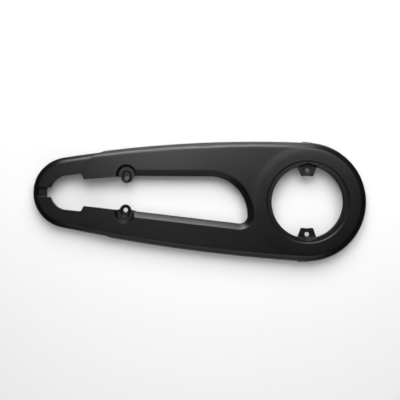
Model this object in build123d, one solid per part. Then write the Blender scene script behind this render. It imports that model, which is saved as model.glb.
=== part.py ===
from build123d import *
import os
from math import acos, atan2, cos, degrees, radians, sin, sqrt, tan

# Bicycle chain guard, moulded in one piece, lying outside face up on its rim.
# Origin on the crank axis in the plane of the rim, +X to the front of the bicycle, +Z outwards.
# Millimetres and degrees.

# Outline: two round ends joined by bowed arms, measured where the shoulder meets the skirt
axle_distance = 285.5
front_radius = 71.3
rear_radius = 43.7
upper_bow_radius = 1480.0
lower_bow_radius = 2170.0

# Section of the shell: skirt, rounded shoulder, crease, flat face
depth = 24.0
wall = 2.8
skirt_draft = 5.0
shoulder_radius = 14.0
crease_slope = 24.0

# Shallower skirt along the arms, between the rear section and a step beside the crank
arm_rim_rise = 5.0
arm_rim_rear = 39.0
arm_rim_front = 6.0

# Straight flare at each end of the deeper front skirt
flare_angle = 86.0
flare_height = 1.2

# Disc round the crank, a little proud of the arms, with a flank that is gentler at its two ends
disc_rise = 0.5
flank_inner_radius = 57.0
flank_outer_radius = 70.0
flank_end_width = 4.3
flank_end_drop = 0.1

# Rear section, set in and down behind a slanting crease, which is placed ahead of the axle
rear_inset = 1.2
rear_drop = 1.0
upper_crease_lead = 26.2
lower_crease_lead = 27.1
face_crease_angle = 64.0
upper_shoulder_angle = 32.0
lower_shoulder_angle = 20.0

# Walls of the recesses slope: a run is how far a wall comes in on its way down

# Crank opening with its recessed ledge
opening_radius = 43.0
ledge_width = 6.0
ledge_depth = 1.4
ledge_run = 0.9

# Two screw lugs in the crank opening
screw_hole_radius = 2.75
lug_circle_radius = 38.5
lug_turn = 2.0
lug_tip_radius = 31.3
lug_tip_width = 14.4
lug_root_width = 22.0
lug_corner_radius = 2.0
lug_drop = 6.0
lug_thickness = 3.0
lug_notch_radius = 7.6
lug_notch_run = 1.5
lug_head_radius = 4.4
lug_head_depth = 0.8

# Window between the chain runs, with a sloping flange; its edges are given at the tabs
window_web = 21.4
window_upper_y = 22.8
window_upper_slope = 1.9
window_lower_y = -18.1
window_lower_slope = -4.5
window_front_radius = 45.7
window_corner_radius = 9.5
flange_width = 6.8
flange_depth = 7.0
flange_land = 1.5

# Rear opening: round the sprocket, then narrower from a jog to the tabs, with plain edges
sprocket_radius = 20.6
sprocket_upper_slope = 9.0
sprocket_lower_slope = -3.5
throat_upper_lead = 19.1
throat_lower_lead = 20.2
throat_upper_y = 16.6
throat_upper_slope = 6.9
throat_lower_y = -15.1
throat_lower_slope = -4.5
jog_run = 3.0
jog_corner_radius = 2.8
edge_depth = 7.0

# Notch and channel at the rear end; the channel goes on over the shoulder and ends on a small shelf
notch_width = 11.3
notch_y = -0.4
notch_depth = 4.2
notch_corner_radius = 1.2
channel_depth = 4.0
channel_run = 1.1
channel_inset = 1.0
channel_fall = 6.0

# Two screw tabs in pockets at the rear of the window
tab_lead = 69.3
tab_middle_y = 1.3
tab_spacing = 38.7
tab_end_radius = 6.6
tab_root_radius = 3.0
tab_floor = 3.0
pocket_offset = 3.4
pocket_radius = 11.9
pocket_depth = 6.0
pocket_run = 2.3
seat_width = 10.6
seat_length = 13.8
seat_depth = 2.5
seat_run = 1.3

# Places and levels that follow from the sizes above
axle_x = -axle_distance
tab_x = axle_x + tab_lead
throat_upper_x = axle_x + throat_upper_lead
throat_lower_x = axle_x + throat_lower_lead
ledge_radius = opening_radius + ledge_width
window_front_x = -ledge_radius - window_web
disc_level = depth + disc_rise
rear_level = depth - rear_drop
crown_level = disc_level + shoulder_radius * (1 - cos(radians(crease_slope)))
widest_level = crown_level - shoulder_radius
ledge_level = disc_level - ledge_depth
lug_level = ledge_level - lug_drop
lug_bottom = lug_level - lug_thickness
flange_level = depth - flange_depth
pocket_level = depth - pocket_depth
seat_level = pocket_level - seat_depth
tab_bottom = seat_level - tab_floor
channel_level = rear_level - channel_depth
shelf_level = channel_level - channel_fall
below = -depth
above = 2 * depth
far = axle_distance + front_radius + rear_radius

# Angles that belong to the geometry
full_turn = 360.0
half_turn = full_turn / 2
quarter_turn = full_turn / 4


def column(plan, low, high):
    """Upright prism of a plan between two levels."""
    return Pos(0, 0, low) * extrude(plan, amount=high - low)


def recess(plan, mouth, floor, run):
    """Space of a recess from its mouth down to its floor, its walls sloping in by run."""
    lean = degrees(atan2(run, mouth - floor))
    return Pos(0, 0, mouth) * mirror(extrude(plan, amount=mouth - floor, taper=lean), Plane.XY)


def lining(run, height):
    """How far the back of a recess's wall stands outside its mouth, where the wall leaves the face."""
    lean = atan2(run, height)
    return wall * (1 - sin(lean)) / cos(lean)


def line_height(start_x, start_y, slope, x):
    """Y at x of a line that leaves its start at a slope in degrees."""
    return start_y + (x - start_x) * tan(radians(slope))


def bow_centre(bow_radius, side):
    """Centre of the arc that touches both round ends, on the upper (+1) or lower (-1) side."""
    to_front = bow_radius - front_radius
    to_rear = bow_radius - rear_radius
    x = (to_rear**2 - to_front**2 - axle_distance**2) / (2 * axle_distance)
    return x, -side * sqrt(to_front**2 - x**2)


def touch_angle(centre, end_x):
    """Direction of the point where a bow touches the round end at end_x."""
    return degrees(atan2(-centre[1], end_x - centre[0]))


def outline(inset):
    """Face bounded by the outline, moved inwards by inset."""
    upper_centre = bow_centre(upper_bow_radius, 1)
    lower_centre = bow_centre(lower_bow_radius, -1)
    upper_front = touch_angle(upper_centre, 0)
    upper_rear = touch_angle(upper_centre, axle_x)
    lower_front = touch_angle(lower_centre, 0)
    lower_rear = touch_angle(lower_centre, axle_x)
    front_end = CenterArc((0, 0), front_radius - inset, lower_front, upper_front - lower_front)
    upper_arm = CenterArc(upper_centre, upper_bow_radius - inset, upper_front, upper_rear - upper_front)
    rear_end = CenterArc((axle_x, 0), rear_radius - inset, upper_rear, full_turn + lower_rear - upper_rear)
    lower_arm = CenterArc(lower_centre, lower_bow_radius - inset, lower_rear, lower_front - lower_rear)
    return make_face([front_end, upper_arm, rear_end, lower_arm])


def space_above_face(drop):
    """Everything over the outside of the face and its raised disc, the face lowered by drop."""
    low = depth - drop
    high = disc_level - drop
    profile = Polyline(
        (0, high),
        (flank_inner_radius, high),
        (flank_inner_radius + flank_end_width, high - flank_end_drop),
        (flank_outer_radius - flank_end_width, low + flank_end_drop),
        (flank_outer_radius, low),
        (far, low),
        (far, above),
        (0, above),
        close=True,
    )
    return revolve(Plane.XZ * make_face(profile), Axis.Z)


def space_above_ceiling(drop):
    """Everything over the inside of the face, flat under the disc and its ledge too, lowered by drop."""
    return column(Rectangle(2 * far, 2 * far), depth - wall - drop, above)


def block_under_skin(inset, drop, thickness):
    """Drafted block with a rounded shoulder; inset and drop place its skin, thickness goes in from it."""
    foot = -thickness
    crown = crown_level - drop - thickness
    widening = (widest_level - foot) * tan(radians(skirt_draft))
    base = Pos(0, 0, foot) * outline(inset + thickness - widening)
    block = extrude(base, amount=crown - foot, taper=skirt_draft)
    return fillet(block.faces().sort_by(Axis.Z)[-1].edges(), shoulder_radius - thickness)


def raised_plan(shift):
    """Plan of the raised front section, ahead of the slanting crease, moved forward by shift."""
    turn_y = rear_radius - rear_inset
    run_in = turn_y / tan(radians(face_crease_angle))
    upper_x = axle_x + upper_crease_lead + shift
    lower_x = axle_x + lower_crease_lead + shift
    corners = [
        (upper_x - run_in, 0),
        (upper_x, turn_y),
        (far, line_height(upper_x, turn_y, upper_shoulder_angle, far)),
        (far, line_height(lower_x, -turn_y, -lower_shoulder_angle, far)),
        (lower_x, -turn_y),
        (lower_x - run_in, 0),
    ]
    return make_face(Polyline(*corners, close=True))


def stepped_block(thickness, space_above):
    """The raised front section and the lower rear section as one solid, cut off by the space above it."""
    front = block_under_skin(0, 0, thickness) & column(raised_plan(thickness), below, above)
    rear = block_under_skin(rear_inset, rear_drop, thickness)
    return front - space_above(0) + (rear - space_above(rear_drop))


def skirt_flare():
    """Straight run on the upper side where the front skirt leaves its circle, drafted like the skirt."""
    start_x = front_radius * cos(radians(flare_angle))
    start_y = front_radius * sin(radians(flare_angle))
    end_x = -arm_rim_front
    end_y = sqrt(front_radius**2 - end_x**2) + flare_height
    rise = (end_y - start_y) / (start_x - end_x)
    widening = widest_level * tan(radians(skirt_draft))
    back_x = end_x - arm_rim_front
    corners = [
        (start_x, start_y + widening),
        (back_x, start_y + rise * (start_x - back_x) + widening),
        (back_x, 0),
        (start_x, 0),
    ]
    wedge = extrude(make_face(Polyline(*corners, close=True)), amount=widest_level, taper=skirt_draft)
    return wedge & column(Pos(end_x + far / 2, 0) * Rectangle(far, 2 * far), below, above)


def arm_relief():
    """Space under the shallower skirt of the arms, sloped at its rear end."""
    rear_x = axle_x + arm_rim_rear
    corners = [
        (rear_x, 0),
        (rear_x + arm_rim_rise, arm_rim_rise),
        (-arm_rim_front, arm_rim_rise),
        (-arm_rim_front, below),
        (rear_x, below),
    ]
    return extrude(Plane.XZ * make_face(Polyline(*corners, close=True)), amount=far, both=True)


def window_plan(growth):
    """Plan of the window at the foot of its flange, round at the front, moved outwards by growth."""
    radius = window_front_radius + growth
    centre_x = window_front_x - window_front_radius
    upper_y = line_height(tab_x, window_upper_y, window_upper_slope, centre_x)
    lower_y = line_height(tab_x, window_lower_y, window_lower_slope, centre_x)
    centre_y = upper_y - window_front_radius / cos(radians(window_upper_slope))
    to_lower = (centre_y - lower_y) * cos(radians(window_lower_slope)) + growth
    start = window_lower_slope - quarter_turn + degrees(acos(to_lower / radius))
    end = window_upper_slope + quarter_turn
    front = CenterArc((centre_x, centre_y), radius, start, end - start)
    rear_x = tab_x - growth
    upper_shift = growth / cos(radians(window_upper_slope))
    lower_shift = growth / cos(radians(window_lower_slope))
    edges = Polyline(
        front @ 1,
        (rear_x, line_height(tab_x, window_upper_y, window_upper_slope, rear_x) + upper_shift),
        (rear_x, line_height(tab_x, window_lower_y, window_lower_slope, rear_x) - lower_shift),
        front @ 0,
    )
    plan = make_face([front, edges])
    return fillet(plan.vertices().sort_by_distance(front @ 0)[0], window_corner_radius + growth)


def window_space(growth, foot):
    """Space inside the sloping flange and its land, down to the level foot, moved outwards by growth."""
    run = (crown_level - flange_level) * flange_width / flange_depth
    funnel = recess(window_plan(growth + run), crown_level, flange_level, run)
    space = funnel + column(window_plan(growth), foot, flange_level)
    return space & column(Pos(tab_x + far / 2, 0) * Rectangle(far, far), below, above)


def rear_opening_plan():
    """Plan of the sprocket opening with its notch, the jog and the throat up to the tabs."""
    centre = Vector(axle_x, 0)
    upper_touch = centre + Vector(0, sprocket_radius).rotate(Axis.Z, sprocket_upper_slope)
    lower_touch = centre + Vector(0, -sprocket_radius).rotate(Axis.Z, sprocket_lower_slope)
    upper_x = throat_upper_x - jog_run
    lower_x = throat_lower_x - jog_run
    upper_jog = (upper_x, line_height(upper_touch.X, upper_touch.Y, sprocket_upper_slope, upper_x))
    lower_jog = (lower_x, line_height(lower_touch.X, lower_touch.Y, sprocket_lower_slope, lower_x))
    back = ThreePointArc(upper_touch, centre - Vector(sprocket_radius, 0), lower_touch)
    sides = Polyline(
        lower_touch,
        lower_jog,
        (throat_lower_x, throat_lower_y),
        (tab_x, line_height(throat_lower_x, throat_lower_y, throat_lower_slope, tab_x)),
        (tab_x, line_height(throat_upper_x, throat_upper_y, throat_upper_slope, tab_x)),
        (throat_upper_x, throat_upper_y),
        upper_jog,
        upper_touch,
    )
    plan = make_face([back, sides])
    jogs = [plan.vertices().sort_by_distance(corner)[0] for corner in (upper_jog, lower_jog)]
    plan = fillet(jogs, jog_corner_radius)
    notch_length = sprocket_radius + notch_depth
    notch = Pos(axle_x - notch_length / 2, notch_y) * Rectangle(notch_length, notch_width)
    return plan + fillet(notch.vertices().sort_by(Axis.X)[:2], notch_corner_radius)


def channel_plan(growth):
    """Plan of the channel from the notch out over the rear shoulder, widened by growth on each side."""
    length = rear_radius
    return Pos(axle_x - length / 2 - sprocket_radius, notch_y) * Rectangle(length, notch_width + 2 * growth)


def space_outside_channel(plan, shelf, thickness):
    """Space of a plan over the channel's shelf and outside its own shoulder, thickness in from the skin."""
    shoulder = block_under_skin(rear_inset + channel_inset, rear_drop + channel_depth, thickness)
    return column(plan, shelf, channel_level) - shoulder


def lug_plan():
    """Plan of the upper lug: a wedge from the rim of the crank opening to a hollowed tip."""
    half_tip = lug_tip_width / 2
    half_root = lug_root_width / 2
    tip_y = sqrt(lug_tip_radius**2 - half_tip**2)
    root_y = sqrt(opening_radius**2 - half_root**2)
    tip = ThreePointArc((half_tip, tip_y), (0, lug_tip_radius), (-half_tip, tip_y))
    sides = Polyline(
        (-half_tip, tip_y),
        (-half_root, root_y),
        (-half_root, root_y + wall),
        (half_root, root_y + wall),
        (half_root, root_y),
        (half_tip, tip_y),
    )
    plan = make_face([tip, sides])
    return fillet(plan.vertices().sort_by(Axis.Y)[:2], lug_corner_radius)


def lug_notch_plan(growth):
    """Plan of the notch over the upper lug: an arch round the screw and the lug's root along the rim."""
    root = Circle(opening_radius + lug_notch_run + growth) & Pos(0, opening_radius) * Rectangle(
        lug_root_width + 2 * growth, opening_radius
    )
    return root + Pos(0, lug_circle_radius) * Circle(lug_notch_radius + growth)


def pocket_plan(growth):
    """Plan of the upper tab's pocket about the tabs' middle: round at the back, open to the window."""
    reach = tab_spacing / 2 + pocket_offset
    radius = pocket_radius + growth
    return Pos(0, reach) * Circle(radius) + Pos(0, reach / 2) * Rectangle(2 * radius, reach)


def tab_plan(edge):
    """Plan of the upper tab: the pocket's floor from the window's edge back, and a tongue with the hole."""
    hole_y = tab_spacing / 2
    back_y = hole_y + pocket_offset
    floor = Pos(0, edge + back_y / 2) * Rectangle(2 * pocket_radius, back_y) & pocket_plan(0)
    tongue = Pos(0, (hole_y + back_y) / 2) * SlotCenterToCenter(
        pocket_offset, 2 * tab_end_radius, rotation=quarter_turn
    )
    return floor + tongue + tab_root(edge, 1) + tab_root(edge, -1)


def tab_root(edge, side):
    """Plan of the hollow corner between the tongue and the floor's edge, on one side of the tongue."""
    hole_y = tab_spacing / 2
    centre_y = edge - tab_root_radius
    spine_y = max(hole_y, centre_y)
    reach = tab_end_radius + tab_root_radius
    centre_x = side * sqrt(reach**2 - (spine_y - centre_y) ** 2)
    share = tab_end_radius / reach
    touch = (centre_x * share, spine_y + (centre_y - spine_y) * share)
    web = make_face(Polyline((0, edge), (centre_x, edge), touch, (0, spine_y), close=True))
    return web - Pos(centre_x, centre_y) * Circle(tab_root_radius)


def seat_plan():
    """Plan of the upper tab's screw seat, which runs back from the hole."""
    run = seat_length - seat_width
    return Pos(0, tab_spacing / 2 + run / 2) * SlotCenterToCenter(run, seat_width, rotation=quarter_turn)


# The upper feature of each pair stands as drawn, and the lower one is turned half round
lug_places = [Rot(0, 0, lug_turn), Rot(0, 0, lug_turn + half_turn)]
tab_places = [Pos(tab_x, tab_middle_y), Pos(tab_x, tab_middle_y) * Rot(0, 0, half_turn)]
tab_edges = [window_upper_y - tab_middle_y, tab_middle_y - window_lower_y]
lug_hole = Pos(0, lug_circle_radius) * Circle(screw_hole_radius)
lug_head = Pos(0, lug_circle_radius) * Circle(lug_head_radius)
tab_hole = Pos(0, tab_spacing / 2) * Circle(screw_hole_radius)

# Outer form with every opening and recess that goes in from outside
flare = skirt_flare()
outer = stepped_block(0, space_above_face) + flare + mirror(flare, Plane.XZ)
outer -= arm_relief()
outer -= column(Circle(opening_radius), below, above)
outer -= recess(Circle(ledge_radius), disc_level, ledge_level, ledge_run)
outer -= window_space(0, below)
rear_opening = rear_opening_plan()
outer -= column(rear_opening, below, above)
outer -= recess(channel_plan(0), rear_level, channel_level, channel_run)
outer -= space_outside_channel(channel_plan(-channel_run), shelf_level, 0)
for place in lug_places:
    outer -= place * recess(lug_notch_plan(0), ledge_level, lug_level, lug_notch_run)
for place in tab_places:
    outer -= place * recess(pocket_plan(0), depth, pocket_level, pocket_run)

# Hollow inside, less the walls that line the openings and recesses
flange_thickness = wall * sqrt(1 + (flange_width / flange_depth) ** 2)
hollow = stepped_block(wall, space_above_ceiling)
hollow -= column(Circle(opening_radius + wall), lug_bottom, above)
hollow -= window_space(flange_thickness, flange_level - flange_land)
hollow -= column(offset(rear_opening, wall), depth - edge_depth, above)
channel_back = channel_plan(lining(channel_run, channel_depth))
hollow -= column(channel_back, channel_level - wall, above)
hollow -= space_outside_channel(channel_back, shelf_level - wall, wall)
for place in lug_places:
    hollow -= column(place * lug_notch_plan(lining(lug_notch_run, lug_drop)), lug_bottom, above)
for place in tab_places:
    hollow -= column(place * pocket_plan(lining(pocket_run, pocket_depth)), tab_bottom, above)

# Lugs and tabs that stand into the openings, with their screw holes and seats
guard = outer - hollow
for place in lug_places:
    guard += column(place * lug_plan(), lug_bottom, lug_level)
    guard -= column(place * lug_head, lug_level - lug_head_depth, lug_level)
    guard -= column(place * lug_hole, below, above)
for place, edge in zip(tab_places, tab_edges):
    guard += column(place * tab_plan(edge), tab_bottom, pocket_level)
    guard -= place * recess(seat_plan(), pocket_level, seat_level, seat_run)
    guard -= column(place * tab_hole, below, above)

os.makedirs("parts", exist_ok=True)
export_step(guard, "parts/chain_guard.step")
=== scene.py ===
from math import pi, radians

import bmesh
import bpy
from mathutils import Matrix, Vector


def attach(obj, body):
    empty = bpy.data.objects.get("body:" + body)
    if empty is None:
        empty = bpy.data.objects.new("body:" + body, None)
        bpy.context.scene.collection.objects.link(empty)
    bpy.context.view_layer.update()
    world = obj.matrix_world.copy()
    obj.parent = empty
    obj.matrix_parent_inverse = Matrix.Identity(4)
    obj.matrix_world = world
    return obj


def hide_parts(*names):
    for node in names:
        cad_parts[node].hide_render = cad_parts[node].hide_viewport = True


# Bicycle chain guard in satin black plastic, outside face up on a white table under studio lights.
# Lengths are in metres and angles in degrees.

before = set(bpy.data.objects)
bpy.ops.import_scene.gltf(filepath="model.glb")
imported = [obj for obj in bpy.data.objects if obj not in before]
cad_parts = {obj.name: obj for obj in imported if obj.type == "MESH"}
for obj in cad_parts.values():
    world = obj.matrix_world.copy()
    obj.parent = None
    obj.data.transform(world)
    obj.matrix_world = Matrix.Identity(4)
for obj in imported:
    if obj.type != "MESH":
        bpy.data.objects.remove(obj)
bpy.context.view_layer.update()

MM = 0.001

# Moulded shell
LEAST_FOLD = 1.0
FOLD_POWER = 4
SMOOTHER_SHARE = 0.99
WELD_DISTANCE = 0.002 * MM
FLAT_ANGLE = 0.2
EDGE_ANGLE = 22.0
EDGE_RADIUS = 0.4 * MM
EDGE_STEPS = 3
SLIVER_WIDTH = 0.005 * MM
SHADING_WEIGHT = 80
INSIDE_TILT = -0.02

# Black plastic; the grain is in cells per metre, and the spreads are what the flow clouds add or take,
# in roughness and as a share of the colour
PLASTIC_BLACK = 0.004
PLASTIC_SPECULAR = 0.5
OUTSIDE = {"roughness": 0.32, "grain": 1300.0, "relief": 0.008 * MM}
INSIDE = {"roughness": 0.4, "grain": 700.0, "relief": 0.02 * MM}
ROUGHNESS_SPREAD = 0.03
COLOUR_SPREAD = 0.2
EDGE_POLISH = 0.05

# Spark grain, flow clouds and edge polish
RIPPLE_DETAIL = 3.0
RIPPLE_ROUGHNESS = 0.55
PIT_SMOOTHNESS = 0.6
PIT_SHARE = 0.4
FLOW_STRETCH = (7.0, 22.0, 22.0)
FLOW_SCALE = 1.0
FLOW_DETAIL = 4.0
FLOW_DISTORTION = 0.6
NOISE_MIDDLE = 0.5
CREST_START = 0.52
CREST_END = 0.6
PATCH_SCALE = 60.0
PATCH_DETAIL = 3.0

# Camera, straight above the guard and turned a little about its own axis; its lens and sensor are in mm
CAMERA_X = -127.8 * MM
CAMERA_Y = -2.58 * MM
CAMERA_HEIGHT = 812.5 * MM
CAMERA_TURN = 2.27
CAMERA_LENS = 60.0
CAMERA_SENSOR = 36.0

# Table
TABLE_SIZE = 6.0
TABLE_WHITE = 0.92
MATT_ROUGHNESS = 0.9

# Painted reflection: a sheet that the plastic mirrors in place of the table, painted grey by the arms,
# black past the two ends, and brighter towards the softbox as a painted highlight; it changes between two
# distances from the middle of the picture
PAINTED_REFLECTION_LIFT = 0.05 * MM
PAINTED_REFLECTION_GREY = 0.27
PAINTED_REFLECTION_BLACK = 0.012
PAINTED_REFLECTION_ENDS = (0.12, 0.19)
PAINTED_REFLECTION_SIDE = (0.03, 0.12)
PAINTED_HIGHLIGHT_GAIN = 3.4

# Pale wall round the table, and the apron that leads to it over the unlit part of the table
WALL_RADIUS = 2.9
WALL_HEIGHT = 4.0
WALL_SIDES = 96
WALL_PALE = 0.9
APRON_LIFT = 0.1 * MM
APRON_REACH = (0.4, 0.9)

# Lights; each flat panel reaches across X and from a foot edge to a head edge, given by their Y and Z
SOFTBOX = {"x": -0.06, "width": 0.754, "foot": (0.691, 0.403), "head": (0.237, 0.932), "glow": 4.05}
STRIP = {"x": -0.246, "width": 0.139, "foot": (0.523, 0.553), "head": (0.07, 1.082), "glow": 4.4}
LOW_STRIP = {"x": -0.274, "width": 0.752, "foot": (0.993, 0.05), "head": (0.842, 0.226), "glow": 11.7}
REFLECTOR = {"x": -0.083, "width": 1.033, "foot": (-1.0, 0.05), "head": (-0.802, 0.397), "glow": 0.87}
CEILING = {"x": -0.1, "width": 4.0, "foot": (-2.0, 2.6), "head": (2.0, 2.6), "glow": 0.69}
FRONT_FILL = {"x": -0.1, "width": 2.4, "foot": (-1.5, 0.05), "head": (-1.5, 0.6), "glow": 2.0}
ROOM_LIGHT = 0.016


def select_only(piece):
    """Leaves one object selected and active."""
    bpy.ops.object.select_all(action="DESELECT")
    piece.select_set(True)
    bpy.context.view_layer.objects.active = piece


def renew_normals(edge):
    """Brings the normals of the two triangles beside an edge up to date."""
    for face in edge.link_faces:
        face.normal_update()


def unevenness(edge):
    """How sharply the two triangles beside an edge fold against each other and their neighbours."""
    around = [side for face in edge.link_faces for side in face.edges]
    return sum(side.calc_face_angle(0) ** FOLD_POWER for side in around)


def turn_diagonal(edge):
    """Turns the diagonal of two triangles where they lie smoother that way, and says whether it did."""
    tips = [corner for face in edge.link_faces for corner in face.verts if corner not in edge.verts]
    if len(tips) != 2 or any(spoke.other_vert(tips[0]) == tips[1] for spoke in tips[0].link_edges):
        return False
    before = unevenness(edge)
    turned = bmesh.utils.edge_rotate(edge, True)
    if turned is None:
        return False
    renew_normals(turned)
    if unevenness(turned) < SMOOTHER_SHARE * before:
        return True
    renew_normals(bmesh.utils.edge_rotate(turned, False))
    return False


def smooth_diagonals(mesh):
    """Turns the diagonals inside the loose patches of a skin until its rounded shoulders have no dents."""
    skin = bmesh.new()
    skin.from_mesh(mesh)
    turned = 1
    while turned:
        folded = [edge for edge in skin.edges if edge.calc_face_angle(0) > radians(LEAST_FOLD)]
        folded.sort(key=lambda edge: -edge.calc_face_angle(0))
        turned = sum(turn_diagonal(edge) for edge in folded if edge.is_valid)
    skin.to_mesh(mesh)
    skin.free()


def drop_spikes(mesh):
    """Dissolves the corners with only two edges, which crossing bevels leave as spikes."""
    skin = bmesh.new()
    skin.from_mesh(mesh)
    spikes = [corner for corner in skin.verts if len(corner.link_edges) == 2]
    bmesh.ops.dissolve_verts(skin, verts=spikes)
    skin.to_mesh(mesh)
    skin.free()


def moulded_shell():
    """The guard as one welded skin, with its moulded edges rounded."""
    shell = bpy.data.objects.new("guard_shell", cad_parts["chain_guard"].data.copy())
    bpy.context.scene.collection.objects.link(shell)
    select_only(shell)
    bpy.ops.mesh.customdata_custom_splitnormals_clear()
    smooth_diagonals(shell.data)
    bpy.ops.object.mode_set(mode="EDIT")
    bpy.ops.mesh.select_mode(type="EDGE")
    bpy.ops.mesh.select_all(action="SELECT")
    bpy.ops.mesh.remove_doubles(threshold=WELD_DISTANCE)
    bpy.ops.mesh.dissolve_limited(angle_limit=radians(FLAT_ANGLE))
    bpy.ops.mesh.select_all(action="DESELECT")
    bpy.ops.mesh.edges_select_sharp(sharpness=radians(EDGE_ANGLE))
    bpy.ops.mesh.bevel(offset=EDGE_RADIUS, segments=EDGE_STEPS, clamp_overlap=False)
    bpy.ops.mesh.select_all(action="SELECT")
    bpy.ops.mesh.remove_doubles(threshold=SLIVER_WIDTH)
    bpy.ops.mesh.dissolve_degenerate(threshold=SLIVER_WIDTH)
    bpy.ops.object.mode_set(mode="OBJECT")
    drop_spikes(shell.data)
    bpy.ops.object.shade_smooth()
    weighting = shell.modifiers.new("even_shading", "WEIGHTED_NORMAL")
    weighting.weight = SHADING_WEIGHT
    bpy.ops.object.modifier_apply(modifier=weighting.name)
    return shell


def calculate(tree, operation, *given):
    """Result of a Math node on sockets and plain numbers."""
    node = tree.nodes.new("ShaderNodeMath")
    node.operation = operation
    for value, socket in zip(given, node.inputs):
        if isinstance(value, bpy.types.NodeSocket):
            tree.links.new(value, socket)
        else:
            socket.default_value = value
    return node.outputs["Value"]


def texture(tree, kind, place, **settings):
    """Texture node that reads a place, with its settings by their names."""
    node = tree.nodes.new(kind)
    tree.links.new(place, node.inputs["Vector"])
    for label, value in settings.items():
        node.inputs[label].default_value = value
    return node


def node_group(name, inputs, output):
    """Empty shader group with named inputs, given with their kinds, and one value as its output."""
    group = bpy.data.node_groups.new(name, "ShaderNodeTree")
    for label, kind in inputs.items():
        group.interface.new_socket(label, in_out="INPUT", socket_type=kind)
    group.interface.new_socket(output, in_out="OUTPUT", socket_type="NodeSocketFloat")
    given = group.nodes.new("NodeGroupInput").outputs
    result = group.nodes.new("NodeGroupOutput").inputs[output]
    return group, given, result


def spark_grain():
    """Group: height of the fine pitted grain that a spark-eroded mould leaves on plastic."""
    group, given, result = node_group(
        "spark_grain", {"Place": "NodeSocketVector", "Scale": "NodeSocketFloat"}, "Height"
    )
    ripple = texture(
        group, "ShaderNodeTexNoise", given["Place"], Detail=RIPPLE_DETAIL, Roughness=RIPPLE_ROUGHNESS
    )
    pits = texture(group, "ShaderNodeTexVoronoi", given["Place"])
    pits.feature = "SMOOTH_F1"
    pits.inputs["Smoothness"].default_value = PIT_SMOOTHNESS
    both = group.nodes.new("ShaderNodeMix")
    both.inputs["Factor"].default_value = PIT_SHARE
    group.links.new(given["Scale"], ripple.inputs["Scale"])
    group.links.new(given["Scale"], pits.inputs["Scale"])
    group.links.new(ripple.outputs["Fac"], both.inputs["A"])
    group.links.new(pits.outputs["Distance"], both.inputs["B"])
    group.links.new(both.outputs["Result"], result)
    return group


def flow_clouds():
    """Group: broad soft clouds round zero, drawn out along the guard as the melt flowed."""
    group, given, result = node_group("flow_clouds", {"Place": "NodeSocketVector"}, "Cloud")
    stretch = group.nodes.new("ShaderNodeVectorMath")
    stretch.operation = "MULTIPLY"
    stretch.inputs[1].default_value = FLOW_STRETCH
    group.links.new(given["Place"], stretch.inputs[0])
    clouds = texture(
        group,
        "ShaderNodeTexNoise",
        stretch.outputs["Vector"],
        Scale=FLOW_SCALE,
        Detail=FLOW_DETAIL,
        Distortion=FLOW_DISTORTION,
    )
    group.links.new(calculate(group, "SUBTRACT", clouds.outputs["Fac"], NOISE_MIDDLE), result)
    return group


def edge_polish():
    """Group: share of polish on the rounded edges, broken up a little along them."""
    group, given, result = node_group(
        "edge_polish", {"Place": "NodeSocketVector", "Pointiness": "NodeSocketFloat"}, "Polish"
    )
    crest = group.nodes.new("ShaderNodeMapRange")
    crest.inputs["From Min"].default_value = CREST_START
    crest.inputs["From Max"].default_value = CREST_END
    group.links.new(given["Pointiness"], crest.inputs["Value"])
    patches = texture(
        group, "ShaderNodeTexNoise", given["Place"], Scale=PATCH_SCALE, Detail=PATCH_DETAIL
    )
    group.links.new(calculate(group, "MULTIPLY", crest.outputs["Result"], patches.outputs["Fac"]), result)
    return group


def moulded_plastic(name, groups, roughness, grain, relief):
    """Black plastic with a moulded grain, faint flow clouds and slightly smoother edges."""
    material = bpy.data.materials.new(name)
    material.use_nodes = True
    tree = material.node_tree
    shader = tree.nodes["Principled BSDF"].inputs
    shader["Specular IOR Level"].default_value = PLASTIC_SPECULAR
    place = tree.nodes.new("ShaderNodeTexCoord")
    shape = tree.nodes.new("ShaderNodeNewGeometry")
    placed = {}
    for group in groups:
        node = tree.nodes.new("ShaderNodeGroup")
        node.node_tree = group
        tree.links.new(place.outputs["Object"], node.inputs["Place"])
        placed[group.name] = node

    placed["spark_grain"].inputs["Scale"].default_value = grain
    bump = tree.nodes.new("ShaderNodeBump")
    bump.inputs["Distance"].default_value = relief
    tree.links.new(placed["spark_grain"].outputs["Height"], bump.inputs["Height"])
    tree.links.new(bump.outputs["Normal"], shader["Normal"])

    tree.links.new(shape.outputs["Pointiness"], placed["edge_polish"].inputs["Pointiness"])
    cloud = placed["flow_clouds"].outputs["Cloud"]
    polish = placed["edge_polish"].outputs["Polish"]
    clouded = calculate(tree, "MULTIPLY_ADD", cloud, ROUGHNESS_SPREAD / NOISE_MIDDLE, roughness)
    polished = calculate(tree, "MULTIPLY_ADD", polish, -EDGE_POLISH, clouded)
    tree.links.new(polished, shader["Roughness"])

    cloud_shade = COLOUR_SPREAD * PLASTIC_BLACK / NOISE_MIDDLE
    shade = calculate(tree, "MULTIPLY_ADD", cloud, cloud_shade, PLASTIC_BLACK)
    tree.links.new(shade, shader["Base Color"])
    return material


def finish_shell(shell):
    """Gives the shell its satin outside and, on the faces that look down, its duller inside."""
    groups = [spark_grain(), flow_clouds(), edge_polish()]
    shell.data.materials.clear()
    shell.data.materials.append(moulded_plastic("satin_black_plastic", groups, **OUTSIDE))
    shell.data.materials.append(moulded_plastic("inner_black_plastic", groups, **INSIDE))
    for face in shell.data.polygons:
        face.material_index = int(face.normal.z < INSIDE_TILT)


def even_grey(value):
    """Colour with three equal parts."""
    return (value, value, value, 1.0)


def stage_material(piece, name, grey):
    """Puts a piece on the stage under a name, in a matt grey, and gives back the nodes of its material."""
    piece.name = name
    material = bpy.data.materials.new(name)
    material.use_nodes = True
    shader = material.node_tree.nodes["Principled BSDF"].inputs
    shader["Base Color"].default_value = even_grey(grey)
    shader["Roughness"].default_value = MATT_ROUGHNESS
    shader["Specular IOR Level"].default_value = 0.0
    piece.data.materials.append(material)
    return material.node_tree


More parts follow.
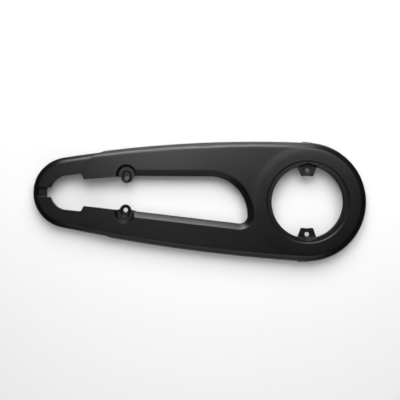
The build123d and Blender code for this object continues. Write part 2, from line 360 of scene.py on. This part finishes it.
def flat_sheet(height):
    """Level sheet as wide as the table, with its middle under the camera."""
    bpy.ops.object.select_all(action="DESELECT")
    bpy.ops.mesh.primitive_plane_add(size=TABLE_SIZE, location=(CAMERA_X, CAMERA_Y, height))
    return bpy.context.active_object


def soft_step(tree, distance, reach, near, far):
    """Value that passes smoothly from near to far between the two distances of a reach."""
    step = tree.nodes.new("ShaderNodeMapRange")
    step.interpolation_type = "SMOOTHSTEP"
    step.inputs["From Min"].default_value = reach[0]
    step.inputs["From Max"].default_value = reach[1]
    step.inputs["To Min"].default_value = near
    step.inputs["To Max"].default_value = far
    tree.links.new(distance, step.inputs["Value"])
    return step.outputs["Result"]


def white_table():
    """White table, which the gloss of the plastic leaves out."""
    table = flat_sheet(0.0)
    table.visible_glossy = False
    stage_material(table, "white_table", TABLE_WHITE)


def painted_reflection_sheet():
    """Sheet that shows in the gloss of the plastic alone, as a painted reflection: grey by the arms, black
    past the ends, brighter towards the softbox.
    """
    sheet = flat_sheet(PAINTED_REFLECTION_LIFT)
    sheet.visible_camera = False
    sheet.visible_diffuse = False
    sheet.visible_shadow = False
    tree = stage_material(sheet, "painted_reflection_sheet", PAINTED_REFLECTION_GREY)
    shader = tree.nodes["Principled BSDF"].inputs
    place = tree.nodes.new("ShaderNodeTexCoord")
    split = tree.nodes.new("ShaderNodeSeparateXYZ")
    tree.links.new(place.outputs["Object"], split.inputs["Vector"])
    lengthways = calculate(tree, "ABSOLUTE", split.outputs["X"])
    # painted reflection: grey by the arms and black past the two ends
    grey = soft_step(tree, lengthways, PAINTED_REFLECTION_ENDS, PAINTED_REFLECTION_GREY, PAINTED_REFLECTION_BLACK)
    # painted highlight: the sheet grows brighter towards the softbox
    painted_highlight_gain = soft_step(tree, split.outputs["Y"], PAINTED_REFLECTION_SIDE, 1.0, PAINTED_HIGHLIGHT_GAIN)
    tree.links.new(calculate(tree, "MULTIPLY", grey, painted_highlight_gain), shader["Base Color"])


def backdrop(piece, name):
    """Makes a piece a pale backdrop, which neither lights the guard nor shows in its gloss."""
    piece.visible_diffuse = False
    piece.visible_glossy = False
    piece.visible_shadow = False
    tree = stage_material(piece, name, 0.0)
    shader = tree.nodes["Principled BSDF"].inputs
    shader["Emission Color"].default_value = even_grey(WALL_PALE)
    shader["Emission Strength"].default_value = 1.0
    return tree


def pale_wall():
    """Round wall behind the table."""
    bpy.ops.object.select_all(action="DESELECT")
    bpy.ops.mesh.primitive_cylinder_add(
        vertices=WALL_SIDES,
        radius=WALL_RADIUS,
        depth=WALL_HEIGHT,
        end_fill_type="NOTHING",
        location=(CAMERA_X, CAMERA_Y, WALL_HEIGHT / 2),
    )
    backdrop(bpy.context.active_object, "pale_wall")


def pale_apron():
    """Sheet on the table that fades in from clear near the guard to the wall's colour further out."""
    tree = backdrop(flat_sheet(APRON_LIFT), "pale_apron")
    shader = tree.nodes["Principled BSDF"].inputs
    place = tree.nodes.new("ShaderNodeTexCoord")
    length = tree.nodes.new("ShaderNodeVectorMath")
    length.operation = "LENGTH"
    tree.links.new(place.outputs["Object"], length.inputs[0])
    tree.links.new(soft_step(tree, length.outputs["Value"], APRON_REACH, 0.0, 1.0), shader["Alpha"])


def light_panel(name, x, width, foot, head, glow):
    """Flat lamp that faces the guard, from its foot edge to its head edge, glowing evenly."""
    rise = Vector((0, *head)) - Vector((0, *foot))
    middle = Vector((x, *foot)) + rise / 2
    up = rise.normalized()
    back = up.cross(Vector((1, 0, 0)))
    if back.dot(middle) < 0:
        back.negate()
    light = bpy.data.lights.new(name, "AREA")
    light.shape = "RECTANGLE"
    light.size = width
    light.size_y = rise.length
    light.energy = glow * pi * width * rise.length
    lamp = bpy.data.objects.new(name, light)
    axes = Matrix((up.cross(back), up, back)).transposed()
    lamp.matrix_world = Matrix.LocRotScale(middle, axes.to_quaternion(), None)
    lamp.visible_camera = False
    bpy.context.scene.collection.objects.link(lamp)
    return lamp


def studio_lights():
    """Studio lights; the low strip shows in the gloss alone, and the last two stay out of the gloss."""
    light_panel("softbox", **SOFTBOX)
    light_panel("strip", **STRIP)
    light_panel("low_strip", **LOW_STRIP).visible_diffuse = False
    light_panel("reflector", **REFLECTOR)
    light_panel("ceiling", **CEILING).visible_glossy = False
    light_panel("front_fill", **FRONT_FILL).visible_glossy = False


def room():
    """Dim even light of the room."""
    world = bpy.data.worlds.new("room")
    world.use_nodes = True
    light = world.node_tree.nodes["Background"].inputs
    light["Color"].default_value = even_grey(1.0)
    light["Strength"].default_value = ROOM_LIGHT
    bpy.context.scene.world = world


def camera():
    """Camera at the photograph's angle."""
    lens = bpy.data.cameras.new("camera")
    lens.lens = CAMERA_LENS
    lens.sensor_width = CAMERA_SENSOR
    eye = bpy.data.objects.new("camera", lens)
    eye.location = (CAMERA_X, CAMERA_Y, CAMERA_HEIGHT)
    eye.rotation_euler = (0, 0, radians(CAMERA_TURN))
    bpy.context.scene.collection.objects.link(eye)
    bpy.context.scene.camera = eye


shell = moulded_shell()
finish_shell(shell)
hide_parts("chain_guard")
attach(shell, "root")

white_table()
painted_reflection_sheet()
pale_wall()
pale_apron()
studio_lights()
room()
camera()
bpy.context.scene.view_settings.view_transform = "Standard"
